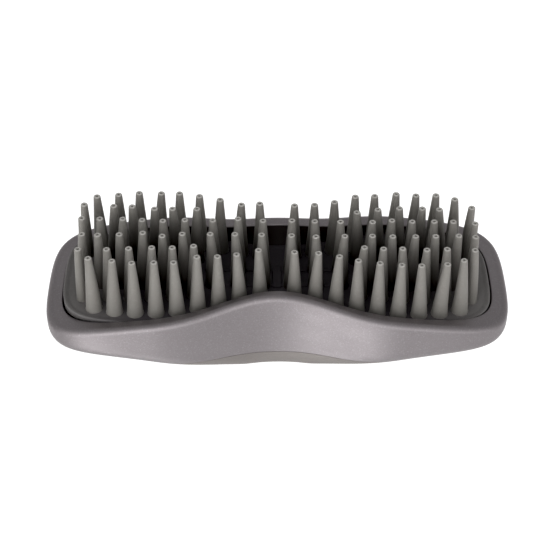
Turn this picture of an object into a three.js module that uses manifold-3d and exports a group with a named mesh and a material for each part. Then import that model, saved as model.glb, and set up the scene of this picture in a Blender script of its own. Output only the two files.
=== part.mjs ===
// Palm-held curry comb, lying on its palm side with its rubber fingers up.
// Millimetres, +Z up, X along the comb, Y across it. The origin is the middle of the flat
// land that the comb rests on.

import * as THREE from 'three';
import { mergeVertices } from 'three/addons/utils/BufferGeometryUtils.js';
import Module from 'manifold-3d';

const wasm = await Module();
wasm.setup();

// ---------------------------------------------------------------- driving dimensions
const FLOOR_HEIGHT = 26.5; // palm land to the top face of the rubber mat, in the middle
const FINGER_HEIGHT = 24.1;
const MAT_TILT = 0.018; // radians: the soft mat stands a little proud at its -X end
const GAP = 0.3; // between touching pieces

// Plan outlines, as half sizes from the middle: the outer edge of the rim and its inner edge
const OUTER = { waist: 23.4, lobe: 31.4, lobeAt: 45.3, end: 85, reach: 0.93, drop: 0.87 };
const INNER = { waist: 18.3, lobe: 25.7, lobeAt: 46.6, end: 78.9, reach: 0.99, drop: 0.68 };
const WAIST_HANDLE = 0.41; // how long the outline stays level at the waist and at the lobe
const SPINE_SHARE = 0.62; // the middle line is this share of the length
const QUARTER_STEPS = 16; // outline steps in one quarter
const RING = 4 * QUARTER_STEPS;

// Rim and skirt
const RIM_WAIST_HEIGHT = 36.9;
const RIM_SADDLE_DROP = 4.3; // the rim sinks this much close to the waist
const RIM_SADDLE_SPREAD = 20;
const RIM_END_FALL = 0.00116; // and then falls with the square of X
const RIM_FILLET = 1.6;
const RIM_LEAN = 0.4; // the inner edge of the rim lies lower than its crown
const WALL = 2;
const WAIST_CORNER_RADIUS = 9.6; // rounding between the skirt and the palm side
const END_CORNER_RADIUS = 5;
const SKIRT_TURN = -0.2; // radians: the rounding is joined this far up the skirt

// Palm side: a flat land in the middle, rising towards the ends
const PALM_RISE = 18.9;
const PALM_LAND = 2.6; // how deep the land cuts into the rounded palm side
const PALM_SPREAD = 46;
const PALM_POWER = 1.61;
const PARTING_HEIGHT = 10.9; // where the grip skin meets the skirt at the waist
const PARTING_GROOVE = 0.5;
const PARTING_LIMIT = 0.97; // at the ends the parting stays this far round the corner

// Stack inside the rim
const MAT_THICKNESS = 2.2;
const CARRIER_THICKNESS = 2;
const CARRIER_TOP = FLOOR_HEIGHT - MAT_THICKNESS - MAT_TILT * INNER.end - GAP;
const CARRIER_BOTTOM = CARRIER_TOP - CARRIER_THICKNESS;
const LEDGE_TOP = CARRIER_BOTTOM - GAP;
const LEDGE_THICKNESS = 1.8;
const LEDGE_BOTTOM = LEDGE_TOP - LEDGE_THICKNESS;
const LEDGE_REACH = 3;
const MAT_SIDE_GAP = 0.4;
const MAT_LIP = { crest: 0.45, crestAt: 1, foot: 2.9 }; // upturned edge, measured from the rim
const COVER_THICKNESS = 1.8;
const COVER_DEPTH = WALL + 2 * GAP; // below the grip skin, with its bed of adhesive
const COVER_LAP = 0.3; // radians that the cover runs up behind the skirt
const RIB_THICKNESS = 1.6;
const RIB_DEPTH = 4; // below the carrier
const RIB_OVERLAP = CARRIER_THICKNESS / 2; // the ribs run this far into the carrier
const RIB_CLEARANCE = 1; // from the ledge
const SPINE_RIB_LENGTH = 110;
const CROSS_RIBS = [14, 24, 34]; // distances from the middle, on both sides

// Fingers
const FINGER_BASE_RADIUS = 3.05;
const FINGER_TIP_RADIUS = 1.2;
const FINGER_SIDES = 8;
const FINGER_ROOT = 1; // the fingers run this far into the mat
const EDGE_ROW = { first: 6.2, pitch: 7.5, count: 9, clearance: 6, tuckFrom: 45, tuck: 0.0013 };
const LOBE_ROW = { first: 30, pitch: 7.65, count: 5, share: 0.55, shareStep: 0.015 };
const INNER_ROW_Y = 4.1;
const WAIST_COLUMNS = { first: 5.2, pitch: 9.05, count: 3 };
const LOBE_COLUMNS = { first: 33.8, pitch: 7.65, count: 5 };
const END_COLUMN = { x: 70.8, y: [4, 12.1], slimness: 0.73 };

// Screws: self-tapping, pan head, all alike
const SCREW_RADIUS = 1.4;
const SCREW_LENGTH = 8;
const SCREW_HEAD_RADIUS = 2.8;
const SCREW_HEAD_HEIGHT = 2;
const SCREW_HEAD_BEVEL = 0.5;
const SCREW_POINT = 2; // length of the tapered end
const SLOT_WIDTH = 0.8;
const SLOT_DEPTH = 0.8;
const SLOT_MARGIN = 0.8; // from the slot's end to the edge of the head
const SCREW_SEAT = 5.6; // above the palm surface
const POST_RADIUS = 4.4;
const POST_TOP = 8.6; // above the palm surface
const HOLE_RADIUS = SCREW_RADIUS + GAP;
const SCREW_PLACES = [[42, 12], [42, -12], [0, 8], [0, -8], [-42, 12], [-42, -12]];
const ROUND_SIDES = 12;

// ---------------------------------------------------------------- materials
const finish = (color, roughness, metalness) =>
  new THREE.MeshStandardMaterial({ color, roughness, metalness });

const shellFinish = () => finish(0x8f898c, 0.38, 0.6);
const gripFinish = () => finish(0x7d7672, 0.6, 0.3);
const rubberFinish = () => finish(0x827f7b, 0.75, 0);
const mouldedFinish = () => finish(0x3c3a3c, 0.55, 0);
const steelFinish = () => finish(0xb4b4b8, 0.3, 1);

// ---------------------------------------------------------------- outlines and heights

// Two curves make a quarter: the rounded end from (end, 0) to the lobe, then the S-shaped
// side from the lobe to the waist.
function quarterOutline({ waist, lobe, lobeAt, end, reach, drop }) {
  const point = (x, y) => new THREE.Vector2(x, y);
  const corner = new THREE.CubicBezierCurve(
    point(end, 0),
    point(end, lobe * drop),
    point(lobeAt + (end - lobeAt) * reach, lobe),
    point(lobeAt, lobe),
  );
  const side = new THREE.CubicBezierCurve(
    point(lobeAt, lobe),
    point(lobeAt * (1 - WAIST_HANDLE), lobe),
    point(lobeAt * WAIST_HANDLE, waist),
    point(0, waist),
  );
  const half = QUARTER_STEPS / 2;
  return [...corner.getSpacedPoints(half), ...side.getSpacedPoints(half).slice(1)];
}

// The whole bow-tie, counter-clockwise from (end, 0), with the inward normal at each point.
function bowTie(size) {
  const quarter = quarterOutline(size);
  const points = [];
  for (let k = 0; k < RING; k++) {
    const part = Math.floor(k / QUARTER_STEPS);
    const step = k % QUARTER_STEPS;
    const from = quarter[part % 2 === 0 ? step : QUARTER_STEPS - step];
    const signX = part === 0 || part === 3 ? 1 : -1;
    const signY = part < 2 ? 1 : -1;
    points.push(new THREE.Vector2(signX * from.x, signY * from.y));
  }
  return points.map((here, k) => {
    const along = points[(k + 1) % RING].clone().sub(points[(k + RING - 1) % RING]).normalize();
    return { here, inward: new THREE.Vector2(-along.y, along.x) };
  });
}

const outerRing = bowTie(OUTER);
const innerRing = bowTie(INNER);

const rimHeight = (x) =>
  RIM_WAIST_HEIGHT
  - RIM_SADDLE_DROP * (1 - Math.exp(-((x / RIM_SADDLE_SPREAD) ** 2)))
  - RIM_END_FALL * x * x;

const palmHeight = (x) =>
  Math.max(0, PALM_RISE * (1 - Math.exp(-((Math.abs(x) / PALM_SPREAD) ** PALM_POWER))) - PALM_LAND);

// Half width inside the rim at a place along the comb, by walking the inner outline.
function innerHalfWidth(x) {
  const quarter = innerRing.slice(0, QUARTER_STEPS + 1);
  const k = quarter.findIndex(({ here }) => here.x <= x);
  const [a, b] = [quarter[k - 1].here, quarter[k].here];
  return a.y + ((b.y - a.y) * (x - a.x)) / (b.x - a.x);
}

// ---------------------------------------------------------------- points on a ring

// A point set in from an outline by a distance, at a height.
function inset(ring, k, distance, z = 0) {
  const { here, inward } = ring[k];
  const plan = here.clone().addScaledVector(inward, distance);
  return new THREE.Vector3(plan.x, plan.y, z);
}

const spine = (ring, k, z) => new THREE.Vector3(ring[k].here.x * SPINE_SHARE, 0, z);

const cornerRadius = (k) => THREE.MathUtils.lerp(
  WAIST_CORNER_RADIUS, END_CORNER_RADIUS, (outerRing[k].here.x / OUTER.end) ** 2);

// A point of the skirt's lower part. The angle is 0 where the straight skirt starts to turn
// under and a quarter turn where it reaches the palm side; below 0 it runs up the skirt.
function skin(k, angle, depth) {
  const radius = cornerRadius(k);
  const reach = radius - depth;
  const turned = Math.max(angle, 0);
  const up = Math.max(-angle, 0) * radius;
  const point = inset(outerRing, k, radius - reach * Math.cos(turned));
  point.z = palmHeight(point.x) + radius - reach * Math.sin(turned) + up;
  return point;
}

// A point of the palm side, from the end of the rounding (share 0) to the middle line (1).
function palm(k, share, depth) {
  const point = skin(k, Math.PI / 2, depth).lerp(spine(outerRing, k, 0), share);
  point.z = palmHeight(point.x) + depth;
  return point;
}

// Angle at which a wall of some depth passes a height.
function angleAtHeight(k, z, depth) {
  const radius = cornerRadius(k);
  const below = palmHeight(outerRing[k].here.x) + radius - z;
  const turn = Math.min(below / (radius - depth), PARTING_LIMIT);
  return below > 0 ? Math.asin(turn) : below / radius;
}

// Angle at which the grip skin meets the shell.
const partingAngle = (k) => angleAtHeight(k, PARTING_HEIGHT, 0);

// Half of the parting groove, as an angle.
const partingGap = (k) => PARTING_GROOVE / 2 / cornerRadius(k);

// ---------------------------------------------------------------- solids

// A lathe body whose rings are drawn out onto the comb's outline. Each row gives the place
// of its ring's point number k. Rows run up the outside and back down the inside.
function ringBody(rows) {
  const unit = rows.map((_, j) => new THREE.Vector2(1, j));
  const geometry = new THREE.LatheGeometry(unit, RING);
  const { position } = geometry.attributes;
  for (let i = 0; i <= RING; i++) {
    rows.forEach((row, j) => {
      const { x, y, z } = row(i % RING);
      position.setXYZ(i * rows.length + j, x, y, z);
    });
  }
  return toSolid(geometry);
}

// A closed geometry as a solid for cutting and joining.
function toSolid(geometry, place = new THREE.Matrix4()) {
  const bare = geometry.clone().applyMatrix4(place);
  bare.deleteAttribute('normal');
  bare.deleteAttribute('uv');
  const merged = mergeVertices(bare, 1e-3);
  const corners = [];
  const { array } = merged.index;
  for (let i = 0; i < array.length; i += 3) {
    const [a, b, c] = array.slice(i, i + 3);
    if (a !== b && b !== c && c !== a) corners.push(a, b, c);
  }
  return new wasm.Manifold(new wasm.Mesh({
    numProp: 3,
    vertProperties: new Float32Array(merged.attributes.position.array),
    triVerts: new Uint32Array(corners),
  }));
}

function toMesh(solid, name, material) {
  const { vertProperties, triVerts } = solid.getMesh();
  const geometry = new THREE.BufferGeometry();
  geometry.setAttribute('position', new THREE.BufferAttribute(vertProperties, 3));
  geometry.setIndex(new THREE.BufferAttribute(triVerts, 1));
  geometry.computeVertexNormals();
  const mesh = new THREE.Mesh(geometry, material);
  mesh.name = name;
  return mesh;
}

// An upright cylinder or cone between two heights.
function upright(x, y, bottom, top, radius, topRadius = radius, sides = ROUND_SIDES) {
  const geometry = new THREE.CylinderGeometry(topRadius, radius, top - bottom, sides);
  const place = new THREE.Matrix4()
    .makeTranslation(x, y, (bottom + top) / 2)
    .multiply(new THREE.Matrix4().makeRotationX(Math.PI / 2));
  return toSolid(geometry, place);
}

function block(x, y, bottom, top, lengthX, lengthY) {
  const geometry = new THREE.BoxGeometry(lengthX, lengthY, top - bottom);
  return toSolid(geometry, new THREE.Matrix4().makeTranslation(x, y, (bottom + top) / 2));
}

// ---------------------------------------------------------------- pieces

function bodyShell() {
  const lip = (k) => partingAngle(k) - partingGap(k);
  const mix = THREE.MathUtils.lerp;
  const lower = (share) => (k) => skin(k, mix(lip(k), SKIRT_TURN, share), 0);
  const fillet = (turn) => (k) => {
    const crown = rimHeight(outerRing[k].here.x) - RIM_FILLET * (1 - Math.sin(turn));
    return inset(outerRing, k, RIM_FILLET * (1 - Math.cos(turn)), crown);
  };
  const inside = (share) => (k) =>
    skin(k, mix(angleAtHeight(k, LEDGE_BOTTOM, WALL), lip(k), share), WALL);
  return ringBody([
    lower(0), lower(0.33), lower(0.67), lower(1),
    fillet(0), fillet(Math.PI / 4), fillet(Math.PI / 2),
    (k) => inset(innerRing, k, 0, rimHeight(innerRing[k].here.x) - RIM_LEAN),
    (k) => inset(innerRing, k, 0, LEDGE_TOP),
    (k) => inset(innerRing, k, LEDGE_REACH, LEDGE_TOP),
    (k) => inset(innerRing, k, LEDGE_REACH, LEDGE_BOTTOM),
    inside(0), inside(0.33), inside(0.67), inside(1),
    lower(0),
  ]);
}

// A dish that follows the palm side between two depths, out to the grip skin's edge, or by a
// lap beyond it up the inside of the skirt.
function palmDish(outerDepth, innerDepth, lap = 0) {
  const edge = (k) => partingAngle(k) + partingGap(k);
  const row = (depth, share) => (k) =>
    skin(k, THREE.MathUtils.lerp(edge(k), Math.PI / 2, share), depth);
  const lapRow = (depth) => (k) => skin(k, edge(k) - lap, depth);
  const shares = [1, 0.67, 0.33, 0];
  return ringBody([
    (k) => palm(k, 1, outerDepth),
    (k) => palm(k, 0.5, outerDepth),
    ...shares.map((share) => row(outerDepth, share)),
    ...(lap ? [lapRow(outerDepth), lapRow(innerDepth)] : []),
    ...shares.toReversed().map((share) => row(innerDepth, share)),
    (k) => palm(k, 0.5, innerDepth),
    (k) => palm(k, 1, innerDepth),
  ]);
}

const palmGrip = () => palmDish(0, WALL);

function palmCover() {
  let cover = palmDish(COVER_DEPTH, COVER_DEPTH + COVER_THICKNESS, COVER_LAP);
  for (const [x, y] of SCREW_PLACES) {
    const level = palmHeight(x);
    cover = cover.add(upright(x, y, level + WALL, level + POST_TOP, POST_RADIUS));
    cover = cover.subtract(upright(x, y, level, level + SCREW_SEAT, SCREW_HEAD_RADIUS + GAP));
    cover = cover.subtract(upright(x, y, level, level + POST_TOP + 1, HOLE_RADIUS));
  }
  cover = cover.subtract(palmDish(0, COVER_DEPTH)); // trims the posts to the cover's outside
  return cover.trimByPlane([0, 0, -1], GAP - LEDGE_BOTTOM); // and the edge to below the ledge
}

function padCarrier() {
  const ribBottom = CARRIER_BOTTOM - RIB_DEPTH;
  const ribTop = CARRIER_BOTTOM + RIB_OVERLAP;
  let carrier = ringBody([
    (k) => spine(innerRing, k, CARRIER_BOTTOM),
    (k) => inset(innerRing, k, MAT_SIDE_GAP, CARRIER_BOTTOM),
    (k) => inset(innerRing, k, MAT_SIDE_GAP, CARRIER_TOP),
    (k) => spine(innerRing, k, CARRIER_TOP),
  ]);
  carrier = carrier.add(block(0, 0, ribBottom, ribTop, SPINE_RIB_LENGTH, RIB_THICKNESS));
  for (const x of CROSS_RIBS) {
    const ribLength = 2 * (innerHalfWidth(x) - LEDGE_REACH - RIB_CLEARANCE);
    for (const side of [-x, x]) {
      carrier = carrier.add(block(side, 0, ribBottom, ribTop, RIB_THICKNESS, ribLength));
    }
  }
  for (const [x, y] of SCREW_PLACES) {
    const bossBottom = palmHeight(x) + POST_TOP + GAP;
    const holeTop = palmHeight(x) + SCREW_SEAT + SCREW_LENGTH + GAP;
    carrier = carrier.add(upright(x, y, bossBottom, ribTop, POST_RADIUS - GAP));
    carrier = carrier.subtract(upright(x, y, 0, holeTop, HOLE_RADIUS));
  }
  return carrier;
}

const edgeRowY = (x) =>
  innerHalfWidth(x) - EDGE_ROW.clearance - EDGE_ROW.tuck * Math.max(0, x - EDGE_ROW.tuckFrom) ** 2;

// Places of the fingers in one quarter of the mat, each with its thickness.
function fingerPlaces() {
  const places = [];
  for (let i = 0; i < EDGE_ROW.count; i++) {
    const x = EDGE_ROW.first + EDGE_ROW.pitch * i;
    places.push({ x, y: edgeRowY(x), scale: 1 });
  }
  for (let i = 0; i < LOBE_ROW.count; i++) {
    const x = LOBE_ROW.first + LOBE_ROW.pitch * i;
    places.push({ x, y: edgeRowY(x) * (LOBE_ROW.share + LOBE_ROW.shareStep * i), scale: 1 });
  }
  for (const columns of [WAIST_COLUMNS, LOBE_COLUMNS]) {
    for (let i = 0; i < columns.count; i++) {
      places.push({ x: columns.first + columns.pitch * i, y: INNER_ROW_Y, scale: 1 });
    }
  }
  for (const y of END_COLUMN.y) {
    places.push({ x: END_COLUMN.x, y, scale: END_COLUMN.slimness });
  }
  return places;
}

// The mat and its fingers in one, built with the mat's top face at z = 0.
function fingerPad() {
  let pad = ringBody([
    (k) => spine(innerRing, k, -MAT_THICKNESS),
    (k) => inset(innerRing, k, MAT_SIDE_GAP, -MAT_THICKNESS),
    (k) => inset(innerRing, k, MAT_SIDE_GAP, 0),
    (k) => inset(innerRing, k, MAT_LIP.crestAt, MAT_LIP.crest),
    (k) => inset(innerRing, k, MAT_LIP.foot, 0),
    (k) => spine(innerRing, k, 0),
  ]);
  for (const { x, y, scale } of fingerPlaces()) {
    for (const [signX, signY] of [[1, 1], [-1, 1], [-1, -1], [1, -1]]) {
      pad = pad.add(upright(
        signX * x, signY * y, -FINGER_ROOT, FINGER_HEIGHT,
        FINGER_BASE_RADIUS * scale, FINGER_TIP_RADIUS, FINGER_SIDES,
      ));
    }
  }
  return pad;
}

// Pan-head screw, head down, with a slot across the head.
function caseScrew(x, y) {
  const seat = palmHeight(x) + SCREW_SEAT - GAP / 2;
  const headBottom = seat - SCREW_HEAD_HEIGHT;
  const tip = seat + SCREW_LENGTH;
  const profile = [
    [0, headBottom], [SCREW_HEAD_RADIUS - SCREW_HEAD_BEVEL, headBottom],
    [SCREW_HEAD_RADIUS, headBottom + SCREW_HEAD_BEVEL], [SCREW_HEAD_RADIUS, seat],
    [SCREW_RADIUS, seat], [SCREW_RADIUS, tip - SCREW_POINT], [0, tip],
  ].map(([radius, height]) => new THREE.Vector2(radius, height));
  const place = new THREE.Matrix4()
    .makeTranslation(x, y, 0)
    .multiply(new THREE.Matrix4().makeRotationX(Math.PI / 2));
  const screw = toSolid(new THREE.LatheGeometry(profile, ROUND_SIDES), place);
  const slotLength = 2 * (SCREW_HEAD_RADIUS - SLOT_MARGIN);
  const slotTop = headBottom + SLOT_DEPTH;
  return screw.subtract(block(x, y, headBottom - 1, slotTop, slotLength, SLOT_WIDTH));
}

// ---------------------------------------------------------------- assembly
const comb = new THREE.Group();
comb.add(toMesh(bodyShell(), 'body_shell', shellFinish()));
const pad = toMesh(fingerPad(), 'finger_pad', rubberFinish());
pad.position.z = FLOOR_HEIGHT;
pad.rotation.y = MAT_TILT;
comb.add(pad);
comb.add(toMesh(padCarrier(), 'pad_carrier', mouldedFinish()));
comb.add(toMesh(palmCover(), 'palm_cover', mouldedFinish()));
comb.add(toMesh(palmGrip(), 'palm_grip', gripFinish()));
SCREW_PLACES.forEach(([x, y], i) => {
  comb.add(toMesh(caseScrew(x, y), `case_screw_${i + 1}`, steelFinish()));
});

export default comb;
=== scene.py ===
"""Looks of the palm-held curry comb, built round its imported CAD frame.

Metres, +Z up, X along the comb, Y across it. The comb lies on its palm side with its rubber
fingers up. The rigid body, the grip skin and the finger mat are finer surfaces that stand for
their CAD nodes. The inner pieces stay as they are and get their finish.
"""

import math
from collections import namedtuple

import bmesh
import bpy
import numpy as np
from mathutils import Matrix, Vector


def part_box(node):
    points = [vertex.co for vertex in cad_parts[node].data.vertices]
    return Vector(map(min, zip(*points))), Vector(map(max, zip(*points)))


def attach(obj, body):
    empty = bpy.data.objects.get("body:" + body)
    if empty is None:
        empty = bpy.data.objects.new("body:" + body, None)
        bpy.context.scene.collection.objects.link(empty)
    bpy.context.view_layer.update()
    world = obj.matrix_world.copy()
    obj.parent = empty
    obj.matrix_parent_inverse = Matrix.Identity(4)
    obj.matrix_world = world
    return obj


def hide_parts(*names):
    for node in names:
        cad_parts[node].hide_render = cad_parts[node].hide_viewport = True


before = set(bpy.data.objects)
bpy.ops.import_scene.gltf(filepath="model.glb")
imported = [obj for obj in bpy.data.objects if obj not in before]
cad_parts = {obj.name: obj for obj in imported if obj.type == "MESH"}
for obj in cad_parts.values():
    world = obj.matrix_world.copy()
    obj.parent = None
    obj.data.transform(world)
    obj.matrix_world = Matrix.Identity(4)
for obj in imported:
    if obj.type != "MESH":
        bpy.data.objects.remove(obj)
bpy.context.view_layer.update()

MM = 0.001

# ---------------------------------------------------------------- driving dimensions, metres
_, shell_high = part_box("body_shell")

END = shell_high.x  # half the length of the rim
LOBE = shell_high.y  # half the width at the lobes

# Half sizes of the plan: the rim's outer edge and its inner edge
Plan = namedtuple("Plan", "waist lobe lobe_at end reach drop")
OUTER = Plan(0.745 * LOBE, LOBE, 0.533 * END, END, 0.93, 0.87)
INNER = Plan(0.583 * LOBE, 0.8185 * LOBE, 0.548 * END, 0.928 * END, 0.99, 0.68)
WAIST_HANDLE = 0.41  # how long the outline stays level at the waist and at the lobe
SPINE_SHARE = 0.62  # the middle line is this share of the length
QUARTER_STEPS = 64
CURVE_SAMPLES = 400

# Rim and skirt
RIM_WAIST_HEIGHT = 36.9 * MM
RIM_SADDLE_DROP = 4.3 * MM  # the rim sinks this much close to the waist
RIM_SADDLE_SPREAD = 20 * MM
RIM_END_FALL = 1.16  # and then falls with the square of X, per metre
RIM_FILLET = 1.8 * MM  # height of the rounding of the rim's outer edge
RIM_ROLL = 2.6 * MM  # and its width
RIM_LEAN = 0.4 * MM  # the rim's inner edge lies lower than its crown
RIM_LIP = 0.45 * MM  # rounding of the rim's inner edge
WALL = 2 * MM
WAIST_CORNER = 9.6 * MM  # rounding between the skirt and the palm side
END_CORNER = 5 * MM
SKIRT_TURN = -0.2  # radians: the rounding starts this far up the skirt

# Palm side: a flat land in the middle, rising towards the ends
PALM_RISE = 18.9 * MM
PALM_LAND = 2.6 * MM
PALM_SPREAD = 46 * MM
PALM_POWER = 1.61
PALM_BLEND = 0.9 * MM  # softens the edge of the land
PARTING_HEIGHT = 10.9 * MM  # where the grip skin meets the skirt at the waist
PARTING_GROOVE = 0.12 * MM
PARTING_LIMIT = 0.97
PARTING_ROUND = 0.1 * MM  # rounding of both edges of the groove

# Inside the rim
FLOOR_HEIGHT = 26.5 * MM
MAT_TILT = 0.018  # radians: the soft mat stands a little proud at its -X end
MAT_THICKNESS = 2.2 * MM
MAT_SIDE_GAP = 0.4 * MM
LIP_CREST = 0.45 * MM  # height of the mat's upturned edge
LIP_CREST_AT = 0.85 * MM  # and how far in from the rim its crest and its foot are
LIP_FOOT = 2.9 * MM
LEDGE_TOP = 20.3 * MM
LEDGE_THICKNESS = 1.8 * MM
LEDGE_REACH = 3 * MM

# Fingers
FINGER_HEIGHT = 24.1 * MM
FINGER_BASE_RADIUS = 3.05 * MM
FINGER_TIP_RADIUS = 1.3 * MM
FINGER_SIDES = 16
FINGER_ROOT = 1 * MM  # runs this far into the mat
FINGER_LEAN = 0.55 * MM  # how far the soft tips stray from their places
FINGER_BEND = 1.5  # the lean grows with this power of the height
FOOT_FLARE = 0.15 * MM
TIP_ROUND = 0.45 * MM
DIMPLE_RADIUS = 0.55 * MM
DIMPLE_DEPTH = 0.7 * MM
SIDE_RINGS = 9
TIP_RINGS = 4
EDGE_ROW = {"first": 6.2 * MM, "pitch": 7.5 * MM, "count": 9, "clearance": 6 * MM}
EDGE_TUCK = {"start": 45 * MM, "rate": 1.3}  # the row draws in towards the ends, per metre
LOBE_ROW = {"first": 30 * MM, "pitch": 7.65 * MM, "count": 5, "share": 0.55, "step": 0.015}
WAIST_COLUMNS = {"first": 5.2 * MM, "pitch": 9.05 * MM, "count": 3}
LOBE_COLUMNS = {"first": 33.8 * MM, "pitch": 7.65 * MM, "count": 5}
INNER_ROW_Y = 4.1 * MM
END_COLUMN = {"x": 70.8 * MM, "y": (4 * MM, 12.1 * MM), "slimness": 0.73}

# Low ribs on the mat's floor
CENTRE_RIB = {"half_width": 1.75 * MM, "half_length": 6 * MM, "height": 0.6 * MM}
ROW_RIB = {"half_width": 1.1 * MM, "half_length": 27 * MM, "height": 0.35 * MM}

RIB_STEPS = 40
RIB_SQUARENESS = 0.3  # power of the superellipse: 1 would be an ellipse, 0 a rectangle
# Section from the hidden foot to the middle of the top, as shares of half width and height
RIB_SECTION = [(0, -0.5), (1, -0.5), (1, 0.3), (0.93, 0.85), (0.8, 1), (0, 1)]

# Rows of points on each stretch of the surfaces
SKIRT_TURN_ROWS = 13
SKIRT_ROWS = 8
FILLET_ROWS = 9
CROWN_ROWS = 7
CROWN_EDGE_ROWS = 5
INSIDE_STEPS = (0, 0.33, 0.67, 1)  # places of the rows down the hidden wall
PALM_ROWS = 12
PALM_INSIDE_ROWS = 5
GRIP_TURN_ROWS = 15
LIP_RISE_ROWS = 6
LIP_FALL_ROWS = 7
MAT_ROWS = 8
GROOVE_SHARE = 0.3  # place of the middle row on the rounding of the groove

# Where the painted shade at the finger roots, the painted highlight on the tips and the painted
# shade over the mat's middle begin and end: over the mat, from the middle lines
ROOT_SHADE_HEIGHTS = (1 * MM, 20 * MM)
ROOT_SHADE_WIDTHS = (9 * MM, 16 * MM)
TIP_HIGHLIGHT_HEIGHTS = (FINGER_HEIGHT - 0.3 * MM, FINGER_HEIGHT - 0.1 * MM)
SHADE_FADE_ENDS = (48 * MM, 74 * MM)

# Patterns of the finishes: how many cells to the metre, and which stretch of a noise is used
DRIFT_SCALE = 45.0
SMEAR_SCALE = 90.0
SMEAR_STRETCH = (0.35, 1.0, 1.4)
SMEAR_STRENGTHS = (0.35, 0.7)
DUST_SCALE = 700.0
DUST_STRENGTHS = (0.52, 0.75)
SPARK_STRENGTHS = (0.86, 1.0)
GRAIN_STRENGTHS = (0.3, 0.7)

# Camera and studio
CAMERA_ELEVATION = math.radians(42.0)
CAMERA_DISTANCE = 539.35 * MM
CAMERA_ROLL = -0.0067  # radians
CAMERA_LENS = 97.18  # millimetres, as is the width of the sensor
CAMERA_SENSOR = 36.0
AIM = Vector((0.2 * MM, -12.28 * MM, 37.36 * MM))
FLOOR_HALF = 2.0
FLOOR_DROP = 0.05 * MM  # keeps the floor clear of the land's own face
FLOOR_GLOW = 1.0
FRONT_TOP = (0.0, -0.8, 0.6)
FRONT_STRENGTH = 0.95
BACK_STRENGTH = 0.56
OVERHEAD_DIM = 0.6  # straight overhead this share of the light is missing
OVERHEAD_SPREAD = 4.0
LOBE_TOWARDS = (-0.46, -0.888, 0.0)
LOBE_TIGHTNESS = 60.0
LOBE_STRENGTH = 2.0
HORIZON_BLUR = 0.1
CONTRAST = 0.82  # display gamma: below 1 deepens the shade between the fingers
BLACK_POINT = 0.014

RANDOM_SEED = 7
MERGE_DISTANCE = 0.002 * MM


# ---------------------------------------------------------------- outlines and heights


def bezier(corners, t):
    """Cubic curve: the four corners weighted by the Bernstein polynomials of t."""
    a, b, c, d = np.array(corners)
    t = t[:, None]
    return (1 - t) ** 3 * a + 3 * (1 - t) ** 2 * t * b + 3 * (1 - t) * t**2 * c + t**3 * d


def evenly(curve, count):
    """The same curve with count points at even distances along it."""
    steps = np.linalg.norm(np.diff(curve, axis=0), axis=1)
    length = np.concatenate(([0.0], np.cumsum(steps)))
    wanted = np.linspace(0, length[-1], count)
    return np.stack([np.interp(wanted, length, curve[:, axis]) for axis in (0, 1)], axis=1)


def quarter_outline(plan):
    """A rounded end from (end, 0) to the lobe, then the S-shaped side to the waist."""
    t = np.linspace(0, 1, CURVE_SAMPLES)
    shoulder = plan.lobe_at + (plan.end - plan.lobe_at) * plan.reach
    corner = bezier(
        [
            (plan.end, 0),
            (plan.end, plan.lobe * plan.drop),
            (shoulder, plan.lobe),
            (plan.lobe_at, plan.lobe),
        ],
        t,
    )
    side = bezier(
        [
            (plan.lobe_at, plan.lobe),
            (plan.lobe_at * (1 - WAIST_HANDLE), plan.lobe),
            (plan.lobe_at * WAIST_HANDLE, plan.waist),
            (0, plan.waist),
        ],
        t,
    )
    half = QUARTER_STEPS // 2
    return np.vstack((evenly(corner, half + 1), evenly(side, half + 1)[1:]))


def bow_tie(plan):
    """The quarter mirrored into the whole ring, counter-clockwise, with inward normals."""
    quarter = quarter_outline(plan)
    half = np.vstack((quarter, quarter[-2::-1] * (-1, 1)))[:-1]
    ring = np.vstack((half, -half))
    along = np.roll(ring, -1, axis=0) - np.roll(ring, 1, axis=0)
    along /= np.linalg.norm(along, axis=1, keepdims=True)
    inward = np.stack((-along[:, 1], along[:, 0]), axis=1)
    return ring, inward


outer_ring = bow_tie(OUTER)
inner_ring = bow_tie(INNER)
inner_quarter = quarter_outline(INNER)


def rim_height(x):
    """Crown of the rim: a saddle that sinks beside the waist and falls towards the ends."""
    saddle = 1 - np.exp(-((x / RIM_SADDLE_SPREAD) ** 2))
    return RIM_WAIST_HEIGHT - RIM_SADDLE_DROP * saddle - RIM_END_FALL * x**2


def palm_height(x):
    """Underside: flat land in the middle, rising on a bell curve towards the ends.

    The rise h starts as h * h / (h + blend), so that the land has no edge.
    """
    bell = np.exp(-((np.abs(x) / PALM_SPREAD) ** PALM_POWER))
    rise = np.maximum(0, PALM_RISE * (1 - bell) - PALM_LAND + PALM_BLEND)
    return rise**2 / (rise + PALM_BLEND)


def inner_half_width(x):
    """Half width inside the rim at a place along the comb."""
    return np.interp(x, inner_quarter[::-1, 0], inner_quarter[::-1, 1])


def corner_radius():
    """Radius of the rounding under the skirt at each ring point, smaller at the ends."""
    share = (outer_ring[0][:, 0] / END) ** 2
    return WAIST_CORNER + (END_CORNER - WAIST_CORNER) * share


# ---------------------------------------------------------------- rows of points on a ring


def inset(ring, distance, z):
    """Each outline point moved inward by a distance, at a height."""
    here, inward = ring
    plan = here + inward * np.broadcast_to(distance, len(here))[:, None]
    return np.column_stack((plan, np.broadcast_to(z, len(here))))


def spine(ring, z):
    """Each outline point pulled onto the comb's middle line."""
    here = ring[0]
    height = np.full(len(here), float(z))
    return np.column_stack((here[:, 0] * SPINE_SHARE, np.zeros(len(here)), height))


def skin(angle, depth):
    """Skirt rounding: angle 0 where the skirt starts to turn under, a quarter turn at the palm."""
    radius = corner_radius()
    reach = radius - depth
    turned = np.maximum(angle, 0)
    climb = np.maximum(-angle, 0) * radius
    row = inset(outer_ring, radius - reach * np.cos(turned), 0)
    row[:, 2] = palm_height(row[:, 0]) + radius - reach * np.sin(turned) + climb
    return row


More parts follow.
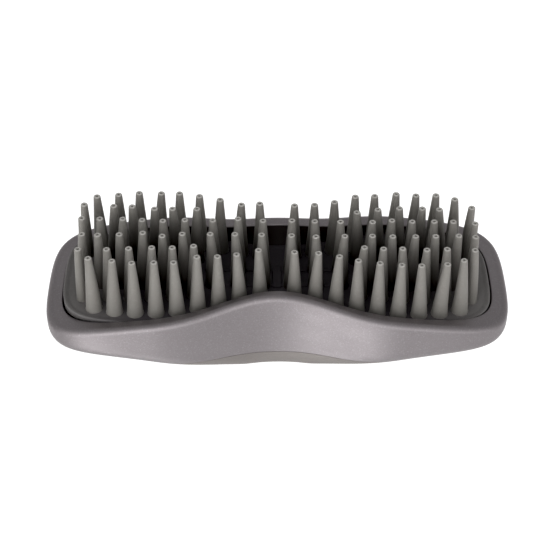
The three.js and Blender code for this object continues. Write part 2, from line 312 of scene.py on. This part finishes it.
def palm(share, depth):
    """Palm side, from the end of the rounding (share 0) to the middle line (share 1)."""
    edge = skin(np.pi / 2, depth)
    row = edge + (spine(outer_ring, 0) - edge) * share
    row[:, 2] = palm_height(row[:, 0]) + depth
    return row


def angle_at_height(z, depth):
    """Angle at which a wall of some depth passes a height, as an arc sine of the drop."""
    radius = corner_radius()
    below = palm_height(outer_ring[0][:, 0]) + radius - z
    turn = np.arcsin(np.clip(below / (radius - depth), 0, PARTING_LIMIT))
    return np.where(below > 0, turn, below / radius)


def parting(side):
    """Angle of the groove between grip skin (side 1) and shell (side -1)."""
    return angle_at_height(PARTING_HEIGHT, 0) + side * PARTING_GROOVE / 2 / corner_radius()


def rim_fillet(turn):
    """Outer edge of the rim: a quarter ellipse from the skirt (turn 0) to the crown."""
    drop = RIM_FILLET * (1 - math.sin(turn))
    crown = rim_height(outer_ring[0][:, 0]) - drop
    return inset(outer_ring, RIM_ROLL * (1 - math.cos(turn)), crown)


def inner_crown(turn):
    """Inner edge of the rim: a small quarter circle from the flat (turn 0) to the wall."""
    drop = RIM_LEAN + RIM_LIP * (1 - math.cos(turn))
    crown = rim_height(inner_ring[0][:, 0]) - drop
    return inset(inner_ring, -RIM_LIP * (1 - math.sin(turn)), crown)


def shares(count):
    """Even steps from 0 to 1."""
    return np.linspace(0, 1, count)


def quarter_turn(count):
    """Even steps from 0 to a quarter turn, in radians."""
    return np.linspace(0, np.pi / 2, count)


def between(first, last, steps):
    """Rows on the straight line between two rows."""
    return [first + (last - first) * step for step in steps]


# ---------------------------------------------------------------- meshes


def grid_faces(rows, columns, close_rows=False):
    """Quads between neighbours of a grid that is closed round its columns."""
    row, column = np.meshgrid(
        np.arange(rows if close_rows else rows - 1), np.arange(columns), indexing="ij"
    )
    next_row = (row + 1) % rows
    next_column = (column + 1) % columns
    corners = (
        row * columns + column,
        row * columns + next_column,
        next_row * columns + next_column,
        next_row * columns + column,
    )
    return np.stack(corners, axis=-1).reshape(-1, 4)


def tilt_mat(points):
    """Turns points about the Y axis through the middle of the mat's top face."""
    turned = points.copy()
    cos, sin = math.cos(MAT_TILT), math.sin(MAT_TILT)
    turned[:, 0] = points[:, 0] * cos + points[:, 2] * sin
    turned[:, 2] = points[:, 2] * cos - points[:, 0] * sin + FLOOR_HEIGHT
    return turned


def make_piece(name, points, faces, materials, nodes, second=None):
    """Puts points and faces into a closed smooth mesh that stands for the CAD nodes.

    The faces where second is true take the second material.
    """
    mesh = bpy.data.meshes.new(name)
    mesh.from_pydata(points.tolist(), [], faces.tolist())
    for material in materials:
        mesh.materials.append(material)
    if second is not None:
        mesh.polygons.foreach_set("material_index", second.astype(np.int32))
    build = bmesh.new()
    build.from_mesh(mesh)
    bmesh.ops.remove_doubles(build, verts=build.verts, dist=MERGE_DISTANCE)
    bmesh.ops.recalc_face_normals(build, faces=build.faces)
    build.to_mesh(mesh)
    build.free()
    mesh.shade_smooth()
    piece = bpy.data.objects.new(name, mesh)
    bpy.context.scene.collection.objects.link(piece)
    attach(piece, "root")
    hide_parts(*nodes)
    return piece


# ---------------------------------------------------------------- pieces


def shell_rows():
    """Rows up the outside of the skirt, over the rim and back down inside the ledge."""
    lip = parting(-1)
    edge = PARTING_ROUND / corner_radius()
    first = lip - edge
    ledge_bottom = LEDGE_TOP - LEDGE_THICKNESS
    inside_top = angle_at_height(ledge_bottom, WALL)
    rows = [skin(lip, PARTING_ROUND)]
    rows.append(skin(lip - GROOVE_SHARE * edge, GROOVE_SHARE * PARTING_ROUND))
    rows += [skin(first + (SKIRT_TURN - first) * step, 0) for step in shares(SKIRT_TURN_ROWS)]
    rows += between(rows[-1], rim_fillet(0), shares(SKIRT_ROWS)[1:-1])
    rows += [rim_fillet(turn) for turn in quarter_turn(FILLET_ROWS)]
    rows += between(rows[-1], inner_crown(0), shares(CROWN_ROWS)[1:-1])
    rows += [inner_crown(turn) for turn in quarter_turn(CROWN_EDGE_ROWS)]
    inside = [
        inset(inner_ring, 0, LEDGE_TOP),
        inset(inner_ring, LEDGE_REACH, LEDGE_TOP),
        inset(inner_ring, LEDGE_REACH, ledge_bottom),
    ]
    inside += [skin(inside_top + (lip - inside_top) * step, WALL) for step in INSIDE_STEPS]
    return rows, inside


def body_shell(coat, bare):
    """The rigid body as one closed ring-shaped surface, coated outside and bare inside."""
    outside, inside = shell_rows()
    rows = np.array(outside + inside)
    faces = grid_faces(len(rows), rows.shape[1], close_rows=True)
    uncoated = np.arange(len(faces)) >= (len(outside) - 1) * rows.shape[1]
    points = rows.reshape(-1, 3)
    return make_piece(
        "pewter_shell", points, faces, [coat, bare], ["body_shell"], uncoated
    )


def palm_grip(material):
    """The grip skin: a dish from the middle line out to the parting and back, a wall inside."""
    edge = parting(1)
    rounding = PARTING_ROUND / corner_radius()
    first = edge + rounding
    rows = [palm(1 - share, 0) for share in shares(PALM_ROWS)[:-1]]
    rows += [
        skin(np.pi / 2 + (first - np.pi / 2) * step, 0) for step in shares(GRIP_TURN_ROWS)
    ]
    rows.append(skin(edge + GROOVE_SHARE * rounding, GROOVE_SHARE * PARTING_ROUND))
    rows.append(skin(edge, PARTING_ROUND))
    rows += [
        skin(edge + (np.pi / 2 - edge) * step, WALL) for step in shares(GRIP_TURN_ROWS)[::2]
    ]
    rows += [palm(share, WALL) for share in shares(PALM_INSIDE_ROWS)[1:]]
    grid = np.array(rows)
    faces = grid_faces(len(grid), grid.shape[1])
    points = grid.reshape(-1, 3)
    return make_piece("palm_skin", points, faces, [material], ["palm_grip"])


def mat_surface():
    """The mat with its upturned edge: height over the lip is a half sine up, then down."""
    rows = [
        spine(inner_ring, -MAT_THICKNESS),
        inset(inner_ring, MAT_SIDE_GAP, -MAT_THICKNESS),
        inset(inner_ring, MAT_SIDE_GAP, 0),
    ]
    for turn in quarter_turn(LIP_RISE_ROWS)[1:]:
        reach = MAT_SIDE_GAP + (LIP_CREST_AT - MAT_SIDE_GAP) * (1 - math.cos(turn))
        rows.append(inset(inner_ring, reach, LIP_CREST * math.sin(turn)))
    for share in shares(LIP_FALL_ROWS)[1:]:
        reach = LIP_CREST_AT + (LIP_FOOT - LIP_CREST_AT) * share
        height = LIP_CREST * (1 + math.cos(share * np.pi)) / 2
        rows.append(inset(inner_ring, reach, height))
    rows += between(rows[-1], spine(inner_ring, 0), shares(MAT_ROWS)[1:])
    grid = np.array(rows)
    return grid.reshape(-1, 3), grid_faces(len(grid), grid.shape[1])


def quarter_places():
    """Finger places in one quarter of the mat, as rows of x, y and thickness."""
    edge_x = EDGE_ROW["first"] + EDGE_ROW["pitch"] * np.arange(EDGE_ROW["count"])
    lobe_x = LOBE_ROW["first"] + LOBE_ROW["pitch"] * np.arange(LOBE_ROW["count"])
    lobe_share = LOBE_ROW["share"] + LOBE_ROW["step"] * np.arange(LOBE_ROW["count"])

    def edge_y(x):
        tuck = EDGE_TUCK["rate"] * np.maximum(0, x - EDGE_TUCK["start"]) ** 2
        return inner_half_width(x) - EDGE_ROW["clearance"] - tuck

    places = [np.column_stack((edge_x, edge_y(edge_x), np.ones_like(edge_x)))]
    places.append(np.column_stack((lobe_x, edge_y(lobe_x) * lobe_share, np.ones_like(lobe_x))))
    for columns in (WAIST_COLUMNS, LOBE_COLUMNS):
        x = columns["first"] + columns["pitch"] * np.arange(columns["count"])
        places.append(np.column_stack((x, np.full_like(x, INNER_ROW_Y), np.ones_like(x))))
    for y in END_COLUMN["y"]:
        places.append(np.array([[END_COLUMN["x"], y, END_COLUMN["slimness"]]]))
    return np.vstack(places)


def finger_places():
    """The quarter mirrored to all four quarters of the mat."""
    quarter = quarter_places()
    signs = [(1, 1, 1), (-1, 1, 1), (-1, -1, 1), (1, -1, 1)]
    return np.vstack([quarter * sign for sign in signs])


def finger_profile():
    """Radius and height of each ring: root, flared foot, straight taper, round tip, dimple.

    Up the side the heights go with the square of the steps, so they crowd at the foot.
    """
    root = [(0.0, -FINGER_ROOT), (FINGER_BASE_RADIUS, -FINGER_ROOT)]
    top = FINGER_HEIGHT - TIP_ROUND
    heights = top * shares(SIDE_RINGS) ** 2
    flare = FOOT_FLARE * np.exp(-heights / FOOT_FLARE)
    taper = (FINGER_TIP_RADIUS - FINGER_BASE_RADIUS) * heights / top
    side = list(zip(FINGER_BASE_RADIUS + taper + flare, heights))
    tip = [
        (
            FINGER_TIP_RADIUS - TIP_ROUND * (1 - math.cos(turn)),
            top + TIP_ROUND * math.sin(turn),
        )
        for turn in quarter_turn(TIP_RINGS)[1:]
    ]
    dimple = [
        (DIMPLE_RADIUS * math.cos(turn), FINGER_HEIGHT - DIMPLE_DEPTH * math.sin(turn))
        for turn in quarter_turn(TIP_RINGS)
    ]
    return np.array(root + side + tip + dimple)


def finger_surfaces():
    """All fingers at once: the profile turned about each place, with a small seeded lean."""
    places = finger_places()
    profile = finger_profile()
    angles = np.linspace(0, 2 * np.pi, FINGER_SIDES, endpoint=False)
    rng = np.random.default_rng(RANDOM_SEED)
    lean = rng.normal(0, FINGER_LEAN, (len(places), 2))
    climb = np.clip(profile[:, 1] / FINGER_HEIGHT, 0, 1)
    slimness = 1 - (1 - places[:, 2, None]) * (1 - climb[None, :])
    radius = profile[None, :, 0] * slimness
    bend = climb[None, :] ** FINGER_BEND
    x = places[:, 0, None] + lean[:, 0, None] * bend
    y = places[:, 1, None] + lean[:, 1, None] * bend
    points = np.stack(
        (
            x[..., None] + radius[..., None] * np.cos(angles),
            y[..., None] + radius[..., None] * np.sin(angles),
            np.broadcast_to(profile[None, :, 1, None], (*radius.shape, FINGER_SIDES)),
        ),
        axis=-1,
    )
    one = grid_faces(len(profile), FINGER_SIDES)
    offsets = np.arange(len(places)) * len(profile) * FINGER_SIDES
    faces = (one[None] + offsets[:, None, None]).reshape(-1, 4)
    return points.reshape(-1, 3), faces


def rib_surface(rib, y):
    """A low bar with rounded corners (a superellipse) and a rounded top edge."""
    turn = np.linspace(0, 2 * np.pi, RIB_STEPS, endpoint=False)
    cap_x = np.sign(np.cos(turn)) * np.abs(np.cos(turn)) ** RIB_SQUARENESS
    cap_y = np.sign(np.sin(turn)) * np.abs(np.sin(turn)) ** RIB_SQUARENESS
    widths, heights = np.array(RIB_SECTION).T
    edge = rib["half_width"] * (1 - widths)
    x = np.maximum(rib["half_length"] - edge, 0)[:, None] * cap_x * (widths[:, None] > 0)
    y_row = y + (rib["half_width"] * widths)[:, None] * cap_y
    z = np.broadcast_to((heights * rib["height"])[:, None], x.shape)
    return np.stack((x, y_row, z), axis=-1).reshape(-1, 3), grid_faces(*x.shape)


def finger_mat(bright, shaded):
    """The soft moulding: mat, low ribs and fingers in one mesh, tilted together."""
    centre, centre_faces = rib_surface(CENTRE_RIB, 0)
    centre = centre[:, [1, 0, 2]]
    # The mat and its ribs take the second, shaded rubber: painted shade on the floor.
    parts = [(*mat_surface(), True), (*finger_surfaces(), False)]
    parts.append((centre, centre_faces, True))
    parts += [(*rib_surface(ROW_RIB, side * INNER_ROW_Y), True) for side in (-1, 1)]
    points, faces, second, count = [], [], [], 0
    for part_points, part_faces, on_floor in parts:
        points.append(part_points)
        faces.append(part_faces + count)
        second.append(np.broadcast_to(on_floor, len(part_faces)))
        count += len(part_points)
    return make_piece(
        "rubber_finger_mat",
        tilt_mat(np.vstack(points)),
        np.vstack(faces),
        [bright, shaded],
        ["finger_pad"],
        np.concatenate(second),
    )


# ---------------------------------------------------------------- shader building


def new_group(name, inputs, outputs):
    """An empty node group with float inputs and named outputs."""
    group = bpy.data.node_groups.new(name, "ShaderNodeTree")
    for label, value in inputs.items():
        socket = group.interface.new_socket(label, in_out="INPUT", socket_type="NodeSocketFloat")
        socket.default_value = value
    for label in outputs:
        group.interface.new_socket(label, in_out="OUTPUT", socket_type="NodeSocketFloat")
    return group, group.nodes.new("NodeGroupInput"), group.nodes.new("NodeGroupOutput")


def noise(tree, position, scale, detail=2.0, roughness=0.5):
    """A noise texture on Object coordinates. Its scale may be a number or a socket."""
    node = tree.nodes.new("ShaderNodeTexNoise")
    node.inputs["Detail"].default_value = detail
    node.inputs["Roughness"].default_value = roughness
    tree.links.new(position, node.inputs["Vector"])
    if isinstance(scale, (int, float)):
        node.inputs["Scale"].default_value = scale
    else:
        tree.links.new(scale, node.inputs["Scale"])
    return node.outputs["Fac"]


def math_node(tree, operation, first, second):
    """A Math node on two inputs; each is a number or a socket."""
    node = tree.nodes.new("ShaderNodeMath")
    node.operation = operation
    for socket, value in zip(node.inputs, (first, second)):
        if isinstance(value, (int, float)):
            socket.default_value = value
        else:
            tree.links.new(value, socket)
    return node.outputs["Value"]


def remap(tree, value, low, high, to_low, to_high):
    """Map Range from one pair of numbers to another, clamped."""
    node = tree.nodes.new("ShaderNodeMapRange")
    tree.links.new(value, node.inputs["Value"])
    for label, number in zip(
        ("From Min", "From Max", "To Min", "To Max"), (low, high, to_low, to_high)
    ):
        node.inputs[label].default_value = number
    return node.outputs["Result"]


def mix_colours(tree, factor, first, second):
    """Two colours mixed by a factor socket; each is an RGB tuple or a socket."""
    node = tree.nodes.new("ShaderNodeMix")
    node.data_type = "RGBA"
    tree.links.new(factor, node.inputs["Factor"])
    for label, colour in (("A", first), ("B", second)):
        socket = next(s for s in node.inputs if s.name == label and s.type == "RGBA")
        if isinstance(colour, tuple):
            socket.default_value = (*colour, 1.0)
        else:
            tree.links.new(colour, socket)
    return next(s for s in node.outputs if s.type == "RGBA")


def object_position(tree):
    """The place on the comb, which all finishes are laid out by."""
    return tree.nodes.new("ShaderNodeTexCoord").outputs["Object"]


def distance_along(tree, axis):
    """Distance from the comb's middle plane across one axis, as a socket."""
    split = tree.nodes.new("ShaderNodeSeparateXYZ")
    tree.links.new(object_position(tree), split.inputs["Vector"])
    return math_node(tree, "ABSOLUTE", split.outputs[axis], 0.0)


def height_over_mat(tree):
    """Height over the tilted mat: the place projected on the mat's normal, less its floor."""
    project = tree.nodes.new("ShaderNodeVectorMath")
    project.operation = "DOT_PRODUCT"
    project.inputs[1].default_value = (MAT_TILT, 0, 1)
    tree.links.new(object_position(tree), project.inputs[0])
    return math_node(tree, "SUBTRACT", project.outputs["Value"], FLOOR_HEIGHT)


def grain_group():
    """Fine moulded grain with a slow drift: Height for bumps, Drift for colour."""
    group, given, result = new_group("moulded_grain", {"Scale": 2500.0}, ["Height", "Drift"])
    position = object_position(group)
    fine = noise(group, position, given.outputs["Scale"], detail=3.0, roughness=0.6)
    slow = noise(group, position, DRIFT_SCALE, detail=2.0)
    group.links.new(fine, result.inputs["Height"])
    group.links.new(slow, result.inputs["Drift"])
    return group


def flake_group():
    """Metal flakes: cells of random brightness, some of them bright sparks."""
    group, given, result = new_group("metal_flake", {"Scale": 3200.0}, ["Flake", "Spark"])
    position = object_position(group)
    cells = group.nodes.new("ShaderNodeTexVoronoi")
    group.links.new(position, cells.inputs["Vector"])
    group.links.new(given.outputs["Scale"], cells.inputs["Scale"])
    split = group.nodes.new("ShaderNodeSeparateColor")
    group.links.new(cells.outputs["Color"], split.inputs["Color"])
    group.links.new(split.outputs["Red"], result.inputs["Flake"])
    spark = remap(group, split.outputs["Green"], *SPARK_STRENGTHS, 0, 1)
    group.links.new(spark, result.inputs["Spark"])
    return group


def handling_group():
    """Soft smears and dust from handling: broad streaky noise as a mask."""
    group, _, result = new_group("handling_marks", {}, ["Smear", "Dust"])
    position = object_position(group)
    stretch = group.nodes.new("ShaderNodeMapping")
    stretch.inputs["Scale"].default_value = SMEAR_STRETCH
    group.links.new(position, stretch.inputs["Vector"])
    smear = noise(group, stretch.outputs["Vector"], SMEAR_SCALE, detail=4.0, roughness=0.6)
    dust = noise(group, position, DUST_SCALE, detail=3.0, roughness=0.7)
    group.links.new(remap(group, smear, *SMEAR_STRENGTHS, 0, 1), result.inputs["Smear"])
    group.links.new(remap(group, dust, *DUST_STRENGTHS, 0, 1), result.inputs["Dust"])
    return group


def finger_painted_light_group():
    """Painted shade at the roots of the inner fingers, and a paler painted highlight ring on all
    the tips.
    """
    group, _, result = new_group("finger_painted_light", {}, ["Grime", "Tip_Highlight"])
    height = height_over_mat(group)
    climb = remap(group, height, *ROOT_SHADE_HEIGHTS, 1.0, 0.0)
    reach = remap(group, distance_along(group, "Y"), *ROOT_SHADE_WIDTHS, 1.0, 0.0)
    group.links.new(math_node(group, "MULTIPLY", climb, reach), result.inputs["Grime"])
    group.links.new(remap(group, height, *TIP_HIGHLIGHT_HEIGHTS, 0.0, 1.0), result.inputs["Tip_Highlight"])
    return group


GRAIN = grain_group()
FLAKE = flake_group()
HANDLING = handling_group()
FINGER_PAINTED_LIGHT = finger_painted_light_group()


def place_group(tree, group, **values):
    """Puts a shared group into a material with its own input values."""
    node = tree.nodes.new("ShaderNodeGroup")
    node.node_tree = group
    for label, value in values.items():
        node.inputs[label].default_value = value
    return node.outputs


def new_material(name):
    """A material with its node tree and its Principled shader."""
    material = bpy.data.materials.new(name)
    material.use_nodes = True
    tree = material.node_tree
    return material, tree, tree.nodes["Principled BSDF"]


def bump(tree, shader, height, distance, strength=1.0):
    """Feeds a height through a Bump node into the shader's normal."""
    node = tree.nodes.new("ShaderNodeBump")
    node.inputs["Strength"].default_value = strength
    node.inputs["Distance"].default_value = distance
    tree.links.new(height, node.inputs["Height"])
    tree.links.new(node.outputs["Normal"], shader.inputs["Normal"])


def laid_over(tree, mask, strength, under, colour):
    """A colour over another where a mask is high, never thicker than the strength."""
    return mix_colours(tree, remap(tree, mask, 0, 1, 0, strength), under, colour)


def grainy_roughness(tree, shader, grain, smooth, rough):
    """Roughness that follows the grain between two values."""
    spread = remap(tree, grain["Height"], *GRAIN_STRENGTHS, smooth, rough)
    tree.links.new(spread, shader.inputs["Roughness"])


# ---------------------------------------------------------------- finishes

PEWTER = ((0.29, 0.268, 0.274), (0.33, 0.308, 0.316))  # each finish drifts between two colours
FLAKES = (0.39, 0.372, 0.39)
SPARKS = (0.5, 0.48, 0.5)
SOFT_SKIN = ((0.25, 0.232, 0.225), (0.29, 0.27, 0.263))
HANDLED_SKIN = (0.33, 0.315, 0.30)
RUBBER = ((0.243, 0.233, 0.217), (0.276, 0.266, 0.25))
BLOOM = (0.295, 0.287, 0.272)
FINGER_DUST = (0.40, 0.39, 0.37)
# painted highlight: the paler ring on the finger tips, standing for light on their tops
TIP_HIGHLIGHT = (0.43, 0.42, 0.4)
# painted shade: the colour the roots of the inner fingers darken to
ROOT_SHADE = (0.04, 0.034, 0.03)
# painted shade: the mat's floor is drawn darker and cooler than the finger rubber
SHADED_FLOOR_RUBBER = ((0.165, 0.159, 0.156), (0.205, 0.198, 0.195))
FLOOR_DUST = (0.29, 0.28, 0.275)
# painted shade over the middle of the mat's floor
FLOOR_PAINTED_SHADE = (0.085, 0.078, 0.085)
DARK_PLASTIC = ((0.055, 0.048, 0.047), (0.075, 0.067, 0.066))
ZINC = ((0.52, 0.52, 0.54), (0.62, 0.61, 0.60))


def pewter_coat():
    """Satin pewter-grey coat with fine metal flake and a slight warm-violet cast."""
    material, tree, shader = new_material("pewter_coat")
    flake = place_group(tree, FLAKE, Scale=3000.0)
    grain = place_group(tree, GRAIN, Scale=1400.0)
    marks = place_group(tree, HANDLING)
    drift = mix_colours(tree, grain["Drift"], *PEWTER)
    flaked = laid_over(tree, flake["Flake"], 0.25, drift, FLAKES)
    sparked = laid_over(tree, flake["Spark"], 0.3, flaked, SPARKS)
    tree.links.new(sparked, shader.inputs["Base Color"])
    shader.inputs["Metallic"].default_value = 0.9
    tree.links.new(remap(tree, marks["Smear"], 0, 1, 0.40, 0.48), shader.inputs["Roughness"])
    bump(tree, shader, grain["Height"], 0.006 * MM)
    return material


def soft_touch():
    """Soft-touch skin of the palm side, warm grey with a fine pebbled grain."""
    material, tree, shader = new_material("soft_touch_skin")
    grain = place_group(tree, GRAIN, Scale=1700.0)
    marks = place_group(tree, HANDLING)
    base = mix_colours(tree, grain["Drift"], *SOFT_SKIN)
    handled = laid_over(tree, marks["Smear"], 0.35, base, HANDLED_SKIN)
    tree.links.new(handled, shader.inputs["Base Color"])
    shader.inputs["Metallic"].default_value = 0.7
    grainy_roughness(tree, shader, grain, 0.5, 0.62)
    bump(tree, shader, grain["Height"], 0.05 * MM)
    return material


def finger_rubber():
    """Matte warm-grey rubber with a faint bloom and specks of dust, painted shade at the roots of
    the inner fingers and a painted highlight ring on the tips.
    """
    material, tree, shader = new_material("finger_rubber")
    grain = place_group(tree, GRAIN, Scale=2600.0)
    marks = place_group(tree, HANDLING)
    painted_light = place_group(tree, FINGER_PAINTED_LIGHT)
    base = mix_colours(tree, grain["Drift"], *RUBBER)
    bloom = laid_over(tree, marks["Smear"], 0.3, base, BLOOM)
    dusty = laid_over(tree, marks["Dust"], 0.2, bloom, FINGER_DUST)
    # painted highlight: a paler ring on the tops of the tips
    tip_lit = mix_colours(tree, painted_light["Tip_Highlight"], dusty, TIP_HIGHLIGHT)
    # painted shade: the inner fingers darken towards their roots
    root_shaded = laid_over(tree, painted_light["Grime"], 0.85, tip_lit, ROOT_SHADE)
    tree.links.new(root_shaded, shader.inputs["Base Color"])
    grainy_roughness(tree, shader, grain, 0.5, 0.62)
    shader.inputs["Specular IOR Level"].default_value = 0.4
    shader.inputs["Sheen Weight"].default_value = 0.1
    bump(tree, shader, grain["Height"], 0.02 * MM)
    return material


def mat_floor_shaded_rubber():
    """The mat's floor: the rubber painted darker and cooler as shade, darker still over the middle
    as painted shade, and paler and dusty towards the ends.
    """
    material, tree, shader = new_material("mat_floor_shaded_rubber")
    grain = place_group(tree, GRAIN, Scale=1800.0)
    marks = place_group(tree, HANDLING)
    base = mix_colours(tree, grain["Drift"], *SHADED_FLOOR_RUBBER)
    dusty = laid_over(tree, marks["Dust"], 0.25, base, FLOOR_DUST)
    # painted shade: the floor darkens towards the middle of the comb
    pale = remap(tree, distance_along(tree, "X"), *SHADE_FADE_ENDS, 0.0, 1.0)
    colour = mix_colours(tree, pale, FLOOR_PAINTED_SHADE, dusty)
    tree.links.new(colour, shader.inputs["Base Color"])
    grainy_roughness(tree, shader, grain, 0.55, 0.7)
    bump(tree, shader, grain["Height"], 0.03 * MM)
    return material


def inner_plastic():
    """Dark grey moulded plastic of the inner pieces, with a fine spark-eroded grain."""
    material, tree, shader = new_material("inner_moulded_plastic")
    grain = place_group(tree, GRAIN, Scale=1500.0)
    colour = mix_colours(tree, grain["Drift"], *DARK_PLASTIC)
    tree.links.new(colour, shader.inputs["Base Color"])
    grainy_roughness(tree, shader, grain, 0.48, 0.6)
    bump(tree, shader, grain["Height"], 0.03 * MM)
    return material


def zinc_steel():
    """Zinc-plated screw steel with a faint grain."""
    material, tree, shader = new_material("zinc_plated_steel")
    grain = place_group(tree, GRAIN, Scale=5000.0)
    colour = mix_colours(tree, grain["Drift"], *ZINC)
    tree.links.new(colour, shader.inputs["Base Color"])
    shader.inputs["Metallic"].default_value = 1.0
    grainy_roughness(tree, shader, grain, 0.22, 0.36)
    bump(tree, shader, grain["Height"], 0.01 * MM)
    return material


def finish_cad_nodes(plastic, steel):
    """Gives the inner pieces that stay as CAD nodes their finish."""
    for name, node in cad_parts.items():
        if name in ("pad_carrier", "palm_cover"):
            node.data.materials[0] = plastic
        elif name.startswith("case_screw"):
            node.data.materials[0] = steel


# ---------------------------------------------------------------- studio


def studio_floor():
    """A wide pale floor that glows a little, so that it stays evenly white."""
    mesh = bpy.data.meshes.new("studio_floor")
    corners = [(-1, -1), (1, -1), (1, 1), (-1, 1)]
    mesh.from_pydata(
        [(x * FLOOR_HALF, y * FLOOR_HALF, -FLOOR_DROP) for x, y in corners], [], [(0, 1, 2, 3)]
    )
    material, _, shader = new_material("pale_floor")
    shader.inputs["Base Color"].default_value = (0.2, 0.2, 0.2, 1)
    shader.inputs["Roughness"].default_value = 0.9
    shader.inputs["Specular IOR Level"].default_value = 0.0
    shader.inputs["Emission Color"].default_value = (1, 1, 1, 1)
    shader.inputs["Emission Strength"].default_value = FLOOR_GLOW
    mesh.materials.append(material)
    floor = bpy.data.objects.new("studio_floor", mesh)
    bpy.context.scene.collection.objects.link(floor)
    floor.visible_glossy = False


def lean(tree, vector, towards):
    """How far a direction leans towards another: their dot product, as a socket."""
    node = tree.nodes.new("ShaderNodeVectorMath")
    node.operation = "DOT_PRODUCT"
    tree.links.new(vector, node.inputs[0])
    node.inputs[1].default_value = Vector(towards).normalized()
    return node.outputs["Value"]


def studio_surround():
    """A white tent: brightest over the front, dim at the back, with a soft lobe at the left.

    Above the horizon the light is a base value plus a share of how far a direction leans
    towards the front top, dimmed straight overhead. Below it the light is the floor's glow.
    The lobe depends only on the direction round the horizon.
    """
    world = bpy.data.worlds.new("studio_surround")
    bpy.context.scene.world = world
    world.use_nodes = True
    tree = world.node_tree
    direction = tree.nodes.new("ShaderNodeTexCoord").outputs["Generated"]
    flatten = tree.nodes.new("ShaderNodeVectorMath")
    flatten.operation = "MULTIPLY"
    flatten.inputs[1].default_value = (1, 1, 0)
    tree.links.new(direction, flatten.inputs[0])
    level = tree.nodes.new("ShaderNodeVectorMath")
    level.operation = "NORMALIZE"
    tree.links.new(flatten.outputs["Vector"], level.inputs[0])
    sideways = lean(tree, level.outputs["Vector"], LOBE_TOWARDS)
    lobe = math_node(tree, "MAXIMUM", sideways, 0.0)
    lobe = math_node(tree, "POWER", lobe, LOBE_TIGHTNESS)
    lobe = math_node(tree, "MULTIPLY", lobe, LOBE_STRENGTH)
    front_top = math_node(tree, "MAXIMUM", lean(tree, direction, FRONT_TOP), 0.0)
    upper = math_node(tree, "MULTIPLY_ADD", front_top, FRONT_STRENGTH)
    upper.node.inputs[2].default_value = BACK_STRENGTH
    height = lean(tree, direction, (0, 0, 1))
    dimming = math_node(tree, "MAXIMUM", height, 0.0)
    dimming = math_node(tree, "POWER", dimming, OVERHEAD_SPREAD)
    dimming = math_node(tree, "MULTIPLY_ADD", dimming, -OVERHEAD_DIM)
    dimming.node.inputs[2].default_value = 1.0
    upper = math_node(tree, "MULTIPLY", upper, dimming)
    below = remap(tree, height, -HORIZON_BLUR, HORIZON_BLUR, 1.0, 0.0)
    mixed = tree.nodes.new("ShaderNodeMix")
    tree.links.new(below, mixed.inputs["Factor"])
    tree.links.new(upper, mixed.inputs["A"])
    mixed.inputs["B"].default_value = FLOOR_GLOW
    total = math_node(tree, "ADD", mixed.outputs["Result"], lobe)
    background = tree.nodes["Background"]
    background.inputs["Color"].default_value = (1, 1, 1, 1)
    tree.links.new(total, background.inputs["Strength"])


def studio_camera():
    """The camera looks down at the comb from the front, rolled by a hair."""
    data = bpy.data.cameras.new("camera")
    data.lens = CAMERA_LENS
    data.sensor_width = CAMERA_SENSOR
    camera = bpy.data.objects.new("camera", data)
    back = Vector((0, -math.cos(CAMERA_ELEVATION), math.sin(CAMERA_ELEVATION)))
    tip = Matrix.Rotation(math.pi / 2 - CAMERA_ELEVATION, 4, "X")
    roll = Matrix.Rotation(CAMERA_ROLL, 4, "Z")
    camera.matrix_world = Matrix.Translation(AIM + back * CAMERA_DISTANCE) @ tip @ roll
    bpy.context.scene.collection.objects.link(camera)
    bpy.context.scene.camera = camera


def set_colours():
    """Plain colour management, so that the finishes come out as they were set."""
    view = bpy.context.scene.view_settings
    view.view_transform = "Standard"
    view.look = "None"
    view.gamma = CONTRAST
    view.use_curve_mapping = True
    view.curve_mapping.black_level = (BLACK_POINT, BLACK_POINT, BLACK_POINT)
    view.curve_mapping.update()


studio_camera()
studio_floor()
studio_surround()
set_colours()
dark_plastic = inner_plastic()
body_shell(pewter_coat(), dark_plastic)
palm_grip(soft_touch())
finger_mat(finger_rubber(), mat_floor_shaded_rubber())
finish_cad_nodes(dark_plastic, zinc_steel())
